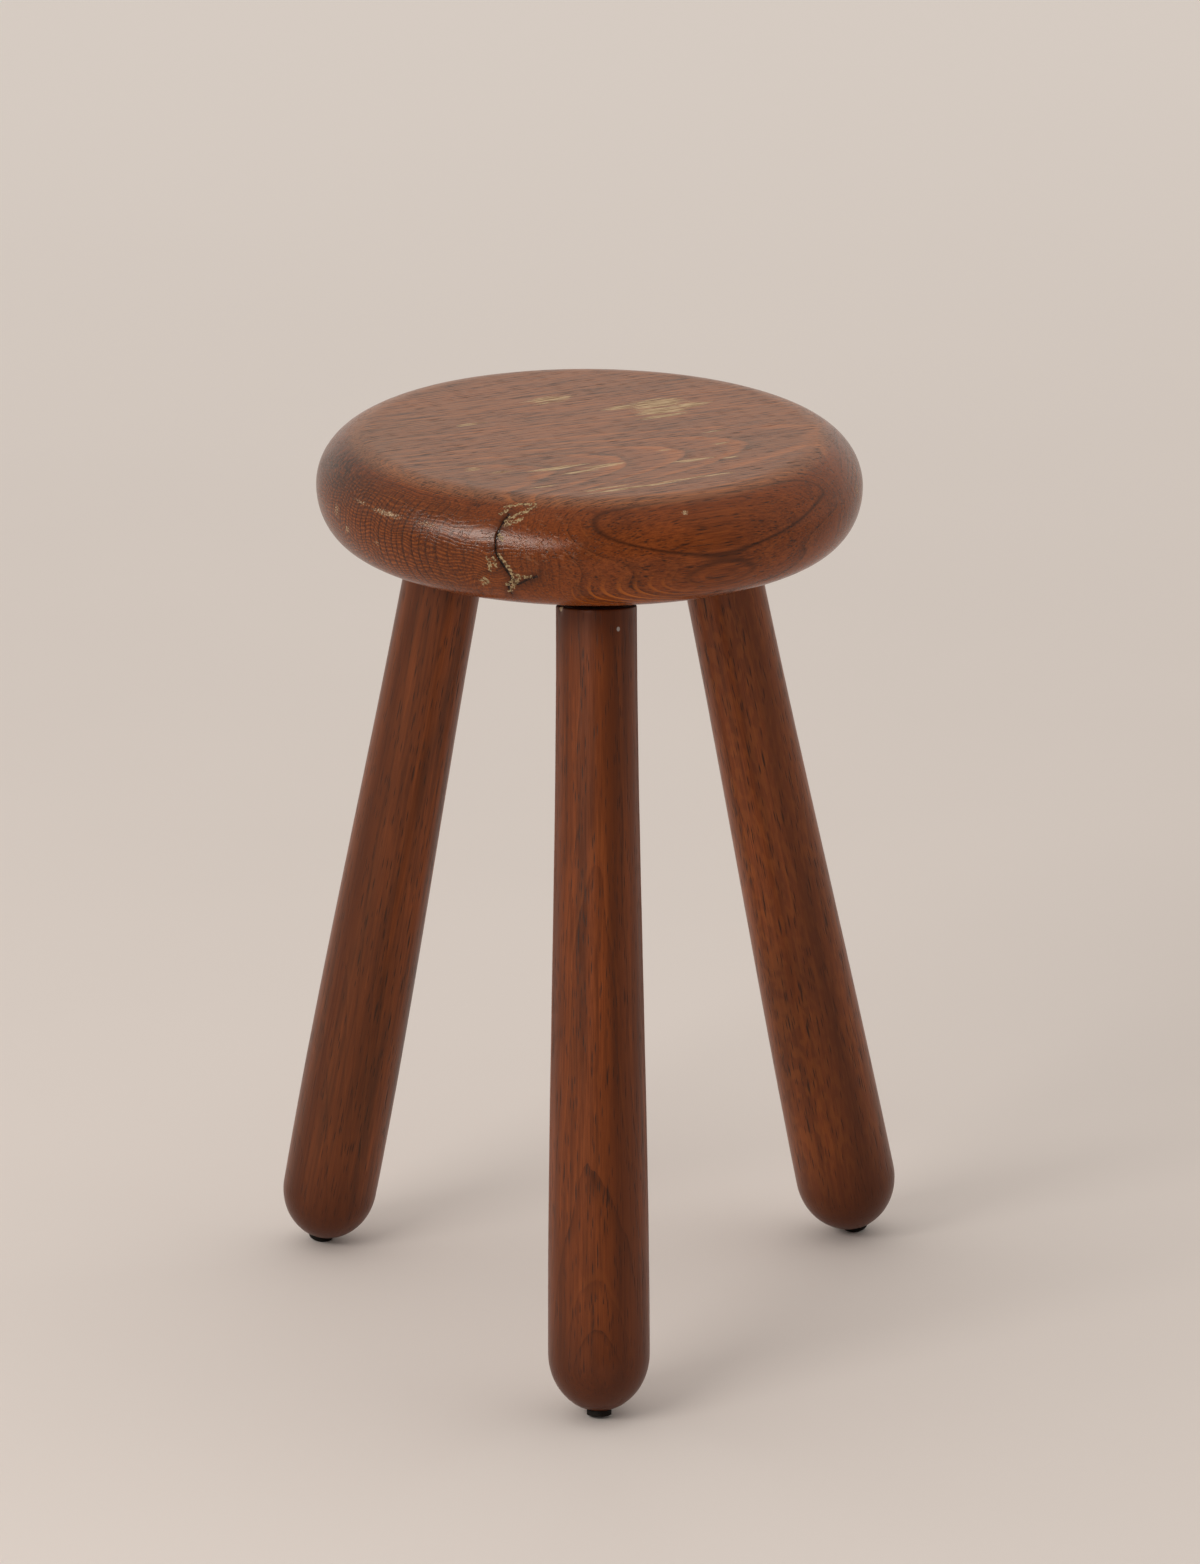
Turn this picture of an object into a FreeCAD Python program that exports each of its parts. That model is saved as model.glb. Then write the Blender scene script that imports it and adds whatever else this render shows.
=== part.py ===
"""Tripod stool: a thick round oak seat on three splayed turned legs, each with a nailed disc glide.

Millimetres, +Z up, standing on z = 0. The front leg points along -Y. The solids are first placed about the
seat's axis, then shifted together so that the origin lies on the floor, centred under the whole stool.
"""
import FreeCAD, Part
import math
import os

V = FreeCAD.Vector

# Whole stool
STOOL_HEIGHT = 450.0

# Seat: flat top, full rounded edge with a slightly squarer lower corner
SEAT_DIA = 265.0
SEAT_THICK = 52.0
EDGE_UPPER_DROP = 26.0      # height of the upper quarter of the edge
EDGE_UPPER_REACH = 27.0     # how far the upper quarter reaches in over the top
EDGE_LOWER_REACH = 20.0     # how far the lower quarter reaches in under the seat
MORTISE_DEPTH = 34.0        # along the leg's axis, from the underside

# Legs: each is bored into the seat by eye, so place and splay differ a little
# name: (turn about the seat from the front, splay from upright, axis radius at the underside, belly diameter)
LEGS = {
    "front": (0.0, 11.5, 73.7, 49.4),
    "left": (-120.9, 11.1, 74.7, 47.4),
    "right": (120.2, 13.4, 70.0, 50.4),
}
SHOULDER_DIA = 39.0
UPPER_DIA = 40.6            # a quarter of the way down
MIDDLE_DIA = 44.2           # half way down
SHOULDER_GAP = 12.0         # neck left bare on the axis between the seat and the shoulder
SHOULDER_EASE = 1.0         # rounding of the shoulder's arris
TENON_DIA = 25.0
TENON_BEVEL = 1.5
GLUE_LINE = 0.05            # radial room for glue round the tenon
DOME_STRETCH = 1.15         # dome height over belly radius

# Glides: black discs, square to the leg, worn flat where they rub the floor
GLIDE_DIA = 12.0
GLIDE_THICK = 3.0
GLIDE_EASE = 0.5
GLIDE_SEAT_DIA = 12.6       # flat cut on the dome for the glide
GLIDE_WEAR = 0.5            # depth worn off the lowest edge
NAIL_RECESS_DIA = 5.4
NAIL_RECESS_DEPTH = 1.6

# Nails
NAIL_DIA = 2.0
NAIL_HEAD_DIA = 5.0
NAIL_HEAD_THICK = 1.0
NAIL_LENGTH = 20.0          # under the head
NAIL_POINT = 3.5
NAIL_ROOM = 0.05            # radial room round the shank

# Derived
SEAT_RADIUS = SEAT_DIA / 2
UNDERSIDE = STOOL_HEIGHT - SEAT_THICK
EDGE_MIDDLE = STOOL_HEIGHT - EDGE_UPPER_DROP
TENON_LENGTH = SHOULDER_GAP + MORTISE_DEPTH
Z_AXIS = V(0, 0, 1)


def line(start, end):
    return Part.LineSegment(V(start[0], 0, start[1]), V(end[0], 0, end[1])).toShape()


def quarter_arc(centre, reach, rise, first, last):
    """Arc of an upright ellipse in the XZ plane, between two parameter angles in degrees."""
    middle = V(centre[0], 0, centre[1])
    if reach >= rise:
        ellipse = Part.Ellipse(middle + V(reach, 0, 0), middle + V(0, 0, rise), middle)
        turn = 0.0
    else:
        ellipse = Part.Ellipse(middle + V(0, 0, rise), middle + V(-reach, 0, 0), middle)
        turn = -90.0
    return Part.Arc(ellipse, math.radians(first + turn), math.radians(last + turn)).toShape()


def smooth_curve(points):
    curve = Part.BSplineCurve()
    curve.interpolate([V(x, 0, z) for x, z in points])
    return curve.toShape()


def turned(edges):
    """Solid of revolution about Z from the edges of a closed half profile in the XZ plane."""
    wire = Part.Wire(Part.__sortEdges__(edges))
    solid = Part.Face(wire).revolve(V(0, 0, 0), Z_AXIS, 360)
    return solid


def rod(radius, length, base=0.0):
    return Part.makeCylinder(radius, length, V(0, 0, base))


def seat_blank():
    lower_rise = EDGE_MIDDLE - UNDERSIDE
    upper_centre = (SEAT_RADIUS - EDGE_UPPER_REACH, EDGE_MIDDLE)
    lower_centre = (SEAT_RADIUS - EDGE_LOWER_REACH, EDGE_MIDDLE)
    return turned([
        line((0, UNDERSIDE), (lower_centre[0], UNDERSIDE)),
        quarter_arc(lower_centre, EDGE_LOWER_REACH, lower_rise, 270, 360),
        quarter_arc(upper_centre, EDGE_UPPER_REACH, EDGE_UPPER_DROP, 0, 90),
        line((upper_centre[0], STOOL_HEIGHT), (0, STOOL_HEIGHT)),
        line((0, STOOL_HEIGHT), (0, UNDERSIDE)),
    ])


def leg_lengths(splay):
    """Distances along a leg's axis, down from the seat's underside, to the glide's face and its seat."""
    lean = math.radians(splay)
    face_height = GLIDE_DIA / 2 * math.sin(lean) - GLIDE_WEAR
    to_face = (UNDERSIDE - face_height) / math.cos(lean)
    return to_face, to_face - GLIDE_THICK


def leg_solid(splay, belly_dia):
    """Leg about Z, with its tenon up and z = 0 where its axis meets the seat's underside."""
    belly = belly_dia / 2
    dome_rise = belly * DOME_STRETCH
    flat = GLIDE_SEAT_DIA / 2
    pole_angle = math.acos(flat / belly)
    to_flat = leg_lengths(splay)[1]
    belly_level = dome_rise * math.sin(pole_angle) - to_flat
    shoulder = SHOULDER_DIA / 2
    ease = SHOULDER_EASE
    tenon = TENON_DIA / 2
    shaft_top = -SHOULDER_GAP - ease
    shaft = shaft_top - belly_level
    bevel = TENON_BEVEL
    return turned([
        line((0, MORTISE_DEPTH), (tenon - bevel, MORTISE_DEPTH)),
        line((tenon - bevel, MORTISE_DEPTH), (tenon, MORTISE_DEPTH - bevel)),
        line((tenon, MORTISE_DEPTH - bevel), (tenon, -SHOULDER_GAP)),
        line((tenon, -SHOULDER_GAP), (shoulder - ease, -SHOULDER_GAP)),
        quarter_arc((shoulder - ease, shaft_top), ease, ease, 0, 90),
        smooth_curve([
            (shoulder, shaft_top),
            (UPPER_DIA / 2, shaft_top - shaft / 4),
            (MIDDLE_DIA / 2, shaft_top - shaft / 2),
            (belly, belly_level),
        ]),
        quarter_arc((0, belly_level), belly, dome_rise, 360 - math.degrees(pole_angle), 360),
        line((flat, -to_flat), (0, -to_flat)),
        line((0, -to_flat), (0, MORTISE_DEPTH)),
    ])


def nail_solid(room=0.0):
    """Nail about Z with its point up and the underside of its head at z = 0."""
    shank = NAIL_DIA / 2 + room
    shaft = rod(shank, NAIL_LENGTH - NAIL_POINT)
    point = Part.makeCone(shank, 0, NAIL_POINT, V(0, 0, NAIL_LENGTH - NAIL_POINT))
    head = rod(NAIL_HEAD_DIA / 2, NAIL_HEAD_THICK, -NAIL_HEAD_THICK)
    return shaft.fuse([point, head]).removeSplitter()


def glide_solid():
    """Disc about Z, its floor face at z = 0, bored and recessed for the nail."""
    disc = rod(GLIDE_DIA / 2, GLIDE_THICK)
    rims = [edge for edge in disc.Edges if len(edge.Vertexes) == 1]
    disc = disc.makeFillet(GLIDE_EASE, rims)
    recess = rod(NAIL_RECESS_DIA / 2, NAIL_RECESS_DEPTH)
    bore = rod(NAIL_DIA / 2 + NAIL_ROOM, GLIDE_THICK)
    return disc.cut(recess.fuse(bore))


def place_leg(shape, turn, splay, radius):
    """Carry a shape from the leg's own axis to its place under the seat."""
    moved = shape.copy()
    moved.rotate(V(0, 0, 0), V(1, 0, 0), -splay)
    moved.translate(V(0, -radius, UNDERSIDE))
    moved.rotate(V(0, 0, 0), Z_AXIS, turn)
    return moved


def build():
    solids = {}
    mortises = []
    below_floor = Part.makeBox(SEAT_DIA * 2, SEAT_DIA * 2, SEAT_DIA, V(-SEAT_DIA, -SEAT_DIA, -SEAT_DIA))
    for name, (turn, splay, radius, belly_dia) in LEGS.items():
        to_face, to_flat = leg_lengths(splay)
        nail_base = V(0, 0, NAIL_RECESS_DEPTH - to_face)
        nail = nail_solid()
        nail.translate(nail_base)
        pilot = nail_solid(NAIL_ROOM)
        pilot.translate(nail_base)
        leg = leg_solid(splay, belly_dia).cut(pilot)
        glide = glide_solid()
        glide.translate(V(0, 0, -to_face))
        mortise = rod(TENON_DIA / 2 + GLUE_LINE, MORTISE_DEPTH + SEAT_THICK, -SEAT_THICK)
        place = (turn, splay, radius)
        mortises.append(place_leg(mortise, *place))
        solids["leg_" + name] = place_leg(leg, *place)
        solids["glide_" + name] = place_leg(glide, *place).cut(below_floor)
        solids["nail_" + name] = place_leg(nail, *place)
    solids["seat"] = seat_blank().cut(mortises)
    return solids


def centre_on_floor(solids):
    """Shift every solid so that the stool's own box is centred over the origin."""
    box = FreeCAD.BoundBox()
    for solid in solids.values():
        box.add(solid.optimalBoundingBox(False))
    shift = V(-box.Center.x, -box.Center.y, 0)
    for solid in solids.values():
        solid.translate(shift)
    print("stool box %.1f x %.1f x %.1f mm, seat axis at %.2f, %.2f"
          % (box.XLength, box.YLength, box.ZLength, shift.x, shift.y))


solids = build()
centre_on_floor(solids)
os.makedirs("parts", exist_ok=True)
for node, solid in solids.items():
    solid.exportStep("parts/%s.step" % node)
    print("%-12s valid %s, %d solid, %.1f cm3" % (node, solid.isValid(), len(solid.Solids), solid.Volume / 1000))
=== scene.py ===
"""Looks of the tripod stool: oak solids with grain, wear and varnish, a pale floor, soft light, a camera.

Sizes are in millimetres, about the seat's axis with z = 0 on the floor, unless a name says otherwise.
Azimuths are in degrees from the front of the stool, positive to the right.
Meshes are scaled to metres and moved to the frame's origin as they are made.
"""
import math

import bpy
import numpy as np
from mathutils import Matrix, Vector, noise


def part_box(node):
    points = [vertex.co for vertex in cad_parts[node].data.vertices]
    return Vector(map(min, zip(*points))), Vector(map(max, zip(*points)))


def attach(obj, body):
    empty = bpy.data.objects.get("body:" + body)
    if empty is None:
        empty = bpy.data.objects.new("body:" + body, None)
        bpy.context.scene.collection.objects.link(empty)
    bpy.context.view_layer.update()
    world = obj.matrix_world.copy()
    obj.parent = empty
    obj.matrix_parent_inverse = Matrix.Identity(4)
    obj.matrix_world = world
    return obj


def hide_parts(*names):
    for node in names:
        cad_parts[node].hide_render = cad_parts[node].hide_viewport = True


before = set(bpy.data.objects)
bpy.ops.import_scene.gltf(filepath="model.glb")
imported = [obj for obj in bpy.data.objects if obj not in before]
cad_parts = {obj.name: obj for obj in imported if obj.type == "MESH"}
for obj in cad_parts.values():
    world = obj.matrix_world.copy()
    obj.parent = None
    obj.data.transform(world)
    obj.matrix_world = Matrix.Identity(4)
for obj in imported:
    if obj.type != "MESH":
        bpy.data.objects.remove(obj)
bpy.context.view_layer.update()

MM = 0.001
seat_low, seat_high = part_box("seat")
SEAT_AXIS = Vector(((seat_low.x + seat_high.x) / 2, (seat_low.y + seat_high.y) / 2, 0.0))
SEAT_TOP = seat_high.z / MM
SEAT_UNDER = seat_low.z / MM
SEAT_RADIUS = (seat_high.x - seat_low.x) / 2 / MM

# Seat edge, as on the solid
EDGE_UPPER_DROP = 26.0
EDGE_UPPER_REACH = 27.0
EDGE_LOWER_REACH = 20.0
MORTISE_DEPTH = 34.0
EDGE_MIDDLE = SEAT_TOP - EDGE_UPPER_DROP

# Legs, as on the solids: turn about the seat, splay, axis radius at the underside, belly diameter
LEGS = {
    "front": (0.0, 11.5, 73.7, 49.4),
    "left": (-120.9, 11.1, 74.7, 47.4),
    "right": (120.2, 13.4, 70.0, 50.4),
}
SHOULDER_DIA = 39.0
UPPER_DIA = 40.6
MIDDLE_DIA = 44.2
SHOULDER_GAP = 12.0
SHOULDER_EASE = 1.0
TENON_DIA = 25.0
TENON_BEVEL = 1.5
GLUE_LINE = 0.05
DOME_STRETCH = 1.15
GLIDE_DIA = 12.0
GLIDE_THICK = 3.0
GLIDE_SEAT_DIA = 12.6
GLIDE_WEAR = 0.5
PILOT_DIA = 2.1
PILOT_DEPTH = 15.1
PILOT_POINT = 3.5

# Seat wood, on axes along the grain, across it and up: rings that lie nearly flat under the top, turn down
# towards the front edge, fold back below its middle and close round a cracked knot at the left end
SEAT_GRAIN_TURN = 25.0            # degrees from +X towards +Y
SEAT_RING = 3.0
CROWN = -48.0                     # across the grain
CROWN_RADIUS = 110.0
SHED = -85.0                      # across the grain, where the rings start to turn down
SHED_RADIUS = 103.0
FOLD_ROUND = 8.4                  # how softly the rings fold back at the middle of the edge
FOLD_SLOPE = 0.54                 # how fast they climb again below it
RING_BOW = 0.0031                 # climb both ways along the grain at the front edge, from BOW_MIDDLE
BOW_MIDDLE = -1.6
TOP_LEAN = 0.08                   # steady climb along the grain behind the front edge
SEAT_SWING = (0.0, 2.0, 1.2)      # how far the rings wander along, across and up
SEAT_BANDS = 0.3                  # how strongly broad dark bands show
FRONT_RANGE = (-108.0, -88.0)     # across the grain, where fold and bow give way to it
LOWER_EYE = (1.0, -131.0, 414.0)  # second place where the rings touch the edge
LOWER_EYE_REACH = (26.0, 40.0, 7.0)
LOWER_EYE_LIFT = 2.6
KNOT = (-97.0, -88.0, 426.0)
KNOT_REACH = 26.0
KNOT_FLAT = 0.6                   # height counts less than width in the rings round the knot
KNOT_LEVEL = 432.0                # level of the rings at the knot's middle
KNOT_SLOPE = 0.55
KNOT_GROWTH = 0.002
END_START = -86.0                 # along the grain, where the rings round the knot take over
END_FULL = -108.0
END_FADE = 6.0                    # depth below the top over which they come in
END_RAY = 1.7                     # height between the nearly level rays there
STRONG_RING = 474.2               # level of the darkest ring line, round the oval on the front right edge
STRONG_RING_WIDTH = 0.5
OVAL = (3.0, -125.0, 438.0)
OVAL_REACH = (130.0, 50.0, 30.0)
CRESCENTS = (-43.0, -122.0, 405.0)
CRESCENTS_REACH = (32.0, 34.0, 8.0)
CRESCENT_RING = 0.9
WAVY = (-77.0, -104.0, 432.0)     # wavy fibres beside the knot
WAVY_REACH = (17.0, 15.0, 12.0)
WAVY_SLOPE = 32.0                 # degrees down along the grain
RIM_LINES = (-48.0, 446.0)        # azimuth and height of close rings along the rim
RIM_LINES_REACH = (44.0, 44.0, 7.0)
RIM_LINE = 0.8
SHEEN_END = 4.2                   # depths below the top between which its painted sheen and faded varnish end
SHEEN_FULL = 0.6
GRIME = (-76.0, 442.0)            # azimuth and height of a dark patch on the edge
GRIME_REACH = (40.0, 40.0, 11.0)

# Crack in the knot, as azimuths and heights on the edge
CRACK = (
    ((-20.6, 444.0), (-21.3, 441.5), (-22.1, 437.0), (-22.4, 432.3), (-22.1, 427.0), (-20.8, 422.4),
     (-19.6, 418.0), (-18.8, 415.1), (-17.7, 411.7)),
    ((-18.8, 415.1), (-19.8, 409.7), (-19.4, 405.8)),
    ((-17.7, 411.7), (-15.8, 414.4), (-13.5, 417.0)),
)
CRACK_DEPTH = 0.7
CRACK_WIDTH = 0.55
CRACK_STAIN = 3.0
CRACK_RAGGED = 3.5                # size of the unevenness along it
CRACK_WINDOW = (-30.0, -10.0)     # azimuths between which the mesh is finer
# Pale filler left in and beside the crack
FILLED = (
    ((-21.1, 441.3), (-18.5, 444.2), (-16.9, 445.5), (-15.3, 447.3)),
    ((-22.1, 446.1), (-18.9, 447.4), (-15.5, 447.9)),
    ((-21.0, 439.3), (-19.2, 441.1), (-17.6, 442.9)),
    ((-22.7, 443.7), (-21.3, 445.2)),
    ((-21.9, 435.2), (-20.9, 433.9)),
    ((-21.5, 426.3), (-20.1, 422.6), (-18.7, 417.8), (-17.0, 416.4), (-14.8, 416.4)),
    ((-18.7, 417.8), (-18.3, 414.3), (-20.1, 411.1)),
    ((-17.2, 415.0), (-18.4, 411.5), (-19.7, 407.0)),
    ((-23.9, 424.7), (-23.5, 421.7), (-23.3, 418.3)),
    ((-22.6, 424.4), (-22.0, 420.8)),
    ((-25.8, 411.7), (-24.9, 413.2), (-24.2, 411.6), (-25.2, 409.6)),
)
FILLED_WIDTH = 1.5
DING = (18.9, 444.4)
DING_DEPTH = 0.5
DING_WIDTH = 1.4

# Bare wood where the varnish has worn off the top: x, y, half length, half width, strength
WORN_TOP = (
    (34.0, 47.0, 17.0, 8.0, 1.1),
    (37.0, 35.0, 15.0, 6.5, 1.05),
    (36.0, 25.5, 15.0, 2.6, 1.0),
    (17.0, 41.0, 10.0, 4.0, 1.0),
    (52.0, 44.5, 10.0, 4.0, 1.05),
    (-17.5, 56.5, 13.0, 4.5, 1.0),
    (-16.0, 52.0, 14.0, 3.0, 0.8),
    (-57.5, 14.0, 9.0, 1.8, 1.0),
    (-58.5, -61.0, 6.0, 4.0, 0.8),
    (-46.0, -66.5, 9.0, 2.0, 0.85),
    (-18.0, -60.0, 16.0, 3.0, 0.95),
    (4.0, -57.0, 13.0, 3.0, 0.9),
    (-8.0, -67.0, 12.0, 2.2, 0.9),
    (-26.0, -90.5, 8.0, 1.8, 0.85),
    (47.0, -48.5, 14.0, 2.4, 0.9),
    (65.0, -45.0, 6.0, 1.4, 0.8),
    (60.5, -0.5, 8.0, 1.2, 0.95),
    (62.0, -21.5, 6.0, 1.5, 0.85),
    (34.5, -32.0, 4.0, 1.5, 0.8),
    (18.0, -92.5, 26.0, 1.7, 1.05),
    (48.0, -77.0, 24.0, 1.3, 1.0),
    (1.0, -95.0, 16.0, 1.5, 0.9),
)
WORN_DEPTH = 4.0                  # how far a patch on the top reaches down
# The same on the edge: azimuth, height, half sizes along the rim and up it, strength
WORN_EDGE = (
    (-60.0, 435.2, 8.0, 1.0, 0.55),
    (-50.3, 434.8, 12.0, 1.7, 0.7),
    (-39.0, 434.9, 8.0, 1.4, 0.5),
    (-68.8, 425.9, 3.5, 4.0, 0.55),
    (-63.8, 419.5, 3.0, 3.0, 0.6),
    (-52.6, 419.0, 3.0, 2.0, 0.5),
    (*DING, 1.6, 1.6, 1.0),
    (75.2, 430.0, 2.5, 3.0, 0.65),
    (78.8, 423.0, 2.5, 3.0, 0.6),
)

# Leg wood: heart of each stick on the leg's own x and y axes, azimuth of a dark streak along it,
# how strongly each part of its figure shows, and a seed for the unevenness of its turning
LEG_RING = 4.2
LEG_SWING = (10.0, 10.0, 0.0)     # how far the rings wander on them
LEG_WOOD = {
    "front": {"heart": (2.0, 40.0), "streak": 22.0, "rays": 0.06, "rings": 0.5, "pores": 0.9,
              "bands": 0.7, "sides": 0.55, "dust": 0.005, "seed": 5.0},
    "left": {"heart": (-30.0, 28.0), "streak": 75.0, "rays": 0.05, "rings": 0.4, "pores": 1.0,
             "bands": 0.9, "sides": 0.4, "dust": 0.05, "seed": 4.0},
    "right": {"heart": (26.0, 34.0), "streak": -95.0, "rays": 0.35, "rings": 0.25, "pores": 1.0,
              "bands": 0.5, "sides": 0.35, "dust": 0.03, "seed": 5.0},
}
LEG_LATE = 0.2                    # how strongly pale late wood shows
RAY_FAN = 40.0                    # rays about the heart, per radian
STREAK_REACH = 5.0                # half width of the dark streak
ENDLESS = 10000.0                 # reach along a leg past both its ends
FOOT_START = -192.0               # level on a leg's axis below which the rings climb, so that they arch
FOOT_BOW = 0.00036
SIDE_START = 9.0                  # sideways from a leg's axis, where its darker sides begin, partly the wood's figure and partly painted shade
SIDE_FULL = 18.0
SHADE_START = -48.0               # level on a leg's axis above which painted shade from the seat darkens it
FOOT_GRIME = (-340.0, -395.0)     # levels between which the foot darkens
NECK_START = -SHOULDER_GAP - 0.6  # levels between which the neck's dark begins: raw dirty end grain, with painted shade in the gap under the seat
NECK_FULL = -SHOULDER_GAP - 0.1
CHIP = (-66.0, -12.6)             # on the front leg's shoulder: azimuth and height on its axis
CHIP_DEPTH = 0.8
CHIP_WIDTH = 1.8
FLECK = (29.8, -21.8)             # pale fleck below it

# Linear colours
LIGHT = (0.27, 0.065, 0.014, 1.0)
MIDDLE = (0.162, 0.039, 0.0105, 1.0)
DARK = (0.085, 0.0215, 0.007, 1.0)
PORE = (0.028, 0.01, 0.005, 1.0)
LATE = (0.32, 0.09, 0.02, 1.0)
SALMON = (0.52, 0.14, 0.018, 1.0)
RAY = (0.33, 0.095, 0.018, 1.0)
# pale tone: dust on the legs, faded varnish and painted sheen on the seat's top
FADED_AND_SHEEN = (0.42, 0.25, 0.14, 1.0)
GLINT = (0.4, 0.18, 0.09, 1.0)
BARE = (0.62, 0.48, 0.3, 1.0)
BARE_DARK = (0.24, 0.14, 0.075, 1.0)
FILLER = (0.47, 0.355, 0.19, 1.0)
FILLER_DARK = (0.15, 0.095, 0.04, 1.0)
FLECK_WHITE = (0.42, 0.39, 0.37, 1.0)
CRACK_BLACK = (0.008, 0.004, 0.003, 1.0)
GLIDE_DARK = (0.004, 0.003, 0.0025, 1.0)
GLIDE_WORN = (0.014, 0.011, 0.009, 1.0)
NAIL_DARK = (0.22, 0.2, 0.18, 1.0)
NAIL_LIGHT = (0.42, 0.4, 0.38, 1.0)
FLOOR = (0.785, 0.765, 0.76, 1.0)
FLOOR_LIGHT = (0.805, 0.785, 0.78, 1.0)
FLOOR_FAR = (0.93, 0.92, 0.92, 1.0)

# Finish: refraction, depth of the relief in metres, grains and patches per metre
VARNISH_IOR = 1.28
GLIDE_IOR = 1.2
RELIEF_STRENGTH = 0.25
RELIEF_DEPTH = 0.0003
GLIDE_GRIT = 900.0
NAIL_GRIT = 1500.0
FLOOR_MOTTLE = 1.6

# Room by which the meshes stay inside the solids, and the slow unevenness that turning leaves
SKIN = 0.06
SEAT_UNEVEN = (0.08, 45.0, 7.0)   # depth, size, seed
LEG_UNEVEN = (0.06, 30.0)         # depth, size

# Fineness of the meshes: points along each stretch of a profile, and sides round each axis
SEAT_TOP_POINTS = 44
SEAT_UPPER_POINTS = 64
SEAT_LOWER_POINTS = 56
SEAT_UNDER_POINTS = 24
SEAT_SIDES = 420                  # outside the crack's window
CRACK_SIDE = 0.2                  # degrees from side to side within it
MORTISE_SIDES = 96
TENON_POINTS = 12
SHOULDER_POINTS = 8
EASE_POINTS = 7
SHAFT_POINTS = 220
DOME_POINTS = 44
LEG_SIDES = 144
CREASE = 40.0                     # degrees between faces, past which their edge is sharp

# Floor: half its width, and how far behind the stool, in metres, it turns paler
FLOOR_HALF = 14000.0
FLOOR_PALER = (0.6, 3.0)

# Camera, from a fit of the stool's outline in the picture
PICTURE_HEIGHT = 1564.0
FOCAL_PIXELS = 8374.0
CAMERA_PLACE = (-182.9, -3879.7, 1601.8)
CAMERA_HEADING = 2.787
CAMERA_TILT = 18.915
CAMERA_ROLL = 0.368
SENSOR_WIDTH = 36.0
CLIP_END = 100.0                  # metres

# Light: world brighter above and behind than in front, a soft lamp at the front left,
# and a wide strip beside it that only shows in the varnish
WORLD_COLOUR = (1.0, 0.9, 0.81, 1.0)
WORLD_BRIGHT = 0.86
WORLD_DIM = 0.2
WORLD_RANGE = (-0.05, 0.85)       # cosines from the front between which it dims
LAMP_AWAY = 2.4                   # metres from the seat
# name: (watts, width and height in metres, azimuth, rise)
LAMPS = {
    "key": (18.0, 1.2, 0.7, -48.0, 30.0),
    "strip": (75.0, 2.5, 0.7, -47.0, 24.0),
}


# Mesh helpers

def to_frame(points):
    """Millimetres about the seat's axis to metres in the frame."""
    return np.asarray(points, float) * MM + np.array(SEAT_AXIS)


def new_piece(name, points, faces):
    """Object with a mesh of these points of the frame."""
    mesh = bpy.data.meshes.new(name)
    mesh.from_pydata([tuple(p) for p in points], [], faces)
    mesh.validate()
    piece = bpy.data.objects.new(name, mesh)
    bpy.context.scene.collection.objects.link(piece)
    return piece


def smooth(piece):
    """Smooth shading, but for edges sharper than the crease angle."""
    for polygon in piece.data.polygons:
        polygon.use_smooth = True
    piece.data.set_sharp_from_angle(angle=math.radians(CREASE))


def set_mask(piece, name, values):
    """Keep a value at each point, for the material to read."""
    attribute = piece.data.attributes.new(name, "FLOAT", "POINT")
    attribute.data.foreach_set("value", np.asarray(values, np.float32))


def round_angles(count):
    """Angles of that many equal sides round an axis."""
    return np.linspace(0, 2 * math.pi, count, endpoint=False)


def lathe(profile, angles):
    """Points and faces of a closed turned form; the profile runs from axis to axis, top first."""
    inner = np.array(profile[1:-1])
    count = len(angles)
    ring = np.stack([np.sin(angles), -np.cos(angles)], axis=1)
    rows = [np.column_stack([r * ring, np.full(count, z)]) for r, z in inner]
    points = np.vstack([[(0.0, 0.0, profile[0][1])], *rows, [(0.0, 0.0, profile[-1][1])]])
    faces = []
    last_row = 1 + (len(inner) - 1) * count
    for j in range(count):
        after = (j + 1) % count
        faces.append((0, 1 + j, 1 + after))
        for here in range(1, last_row, count):
            below = here + count
            faces.append((here + j, below + j, below + after, here + after))
        faces.append((last_row + j, len(points) - 1, last_row + after))
    return points, faces


def turned_normals(profile, angles):
    """Outward normals of a lathe's points, in the same order."""
    line = np.array(profile)
    tangent = np.gradient(line, axis=0)
    out = np.column_stack([-tangent[:, 1], tangent[:, 0]])
    out /= np.linalg.norm(out, axis=1)[:, None]
    ring = np.stack([np.sin(angles), -np.cos(angles)], axis=1)
    rows = [np.column_stack([r * ring, np.full(len(angles), z)]) for r, z in out[1:-1]]
    return np.vstack([[(0.0, 0.0, 1.0)], *rows, [(0.0, 0.0, -1.0)]])


def ellipse_arc(centre, reach, rise, start, end, steps):
    """Points of an upright ellipse from one parameter angle to another, both included."""
    return [
        (centre[0] + reach * math.cos(math.radians(a)), centre[1] + rise * math.sin(math.radians(a)))
        for a in np.linspace(start, end, steps)
    ]


def path_distance(points, path):
    """Distance of each point from a path of straight runs."""
    nearest = np.full(len(points), np.inf)
    for start, end in zip(path[:-1], path[1:]):
        run = end - start
        share = np.clip((points - start) @ run / (run @ run), 0.0, 1.0)
        nearest = np.minimum(nearest, np.linalg.norm(points - start - share[:, None] * run, axis=1))
    return nearest


def rough(points, size, seed=0.0):
    """Smooth noise from -1 to 1 at each point, with features of about that size."""
    return np.array([noise.noise(Vector(p) / size + Vector((seed, 0.0, 0.0))) for p in points])


def uneven(points, depth, size, seed):
    """How far turning has left each point below the true form."""
    return depth * (1.0 + rough(points, size, seed))


# Seat

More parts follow.
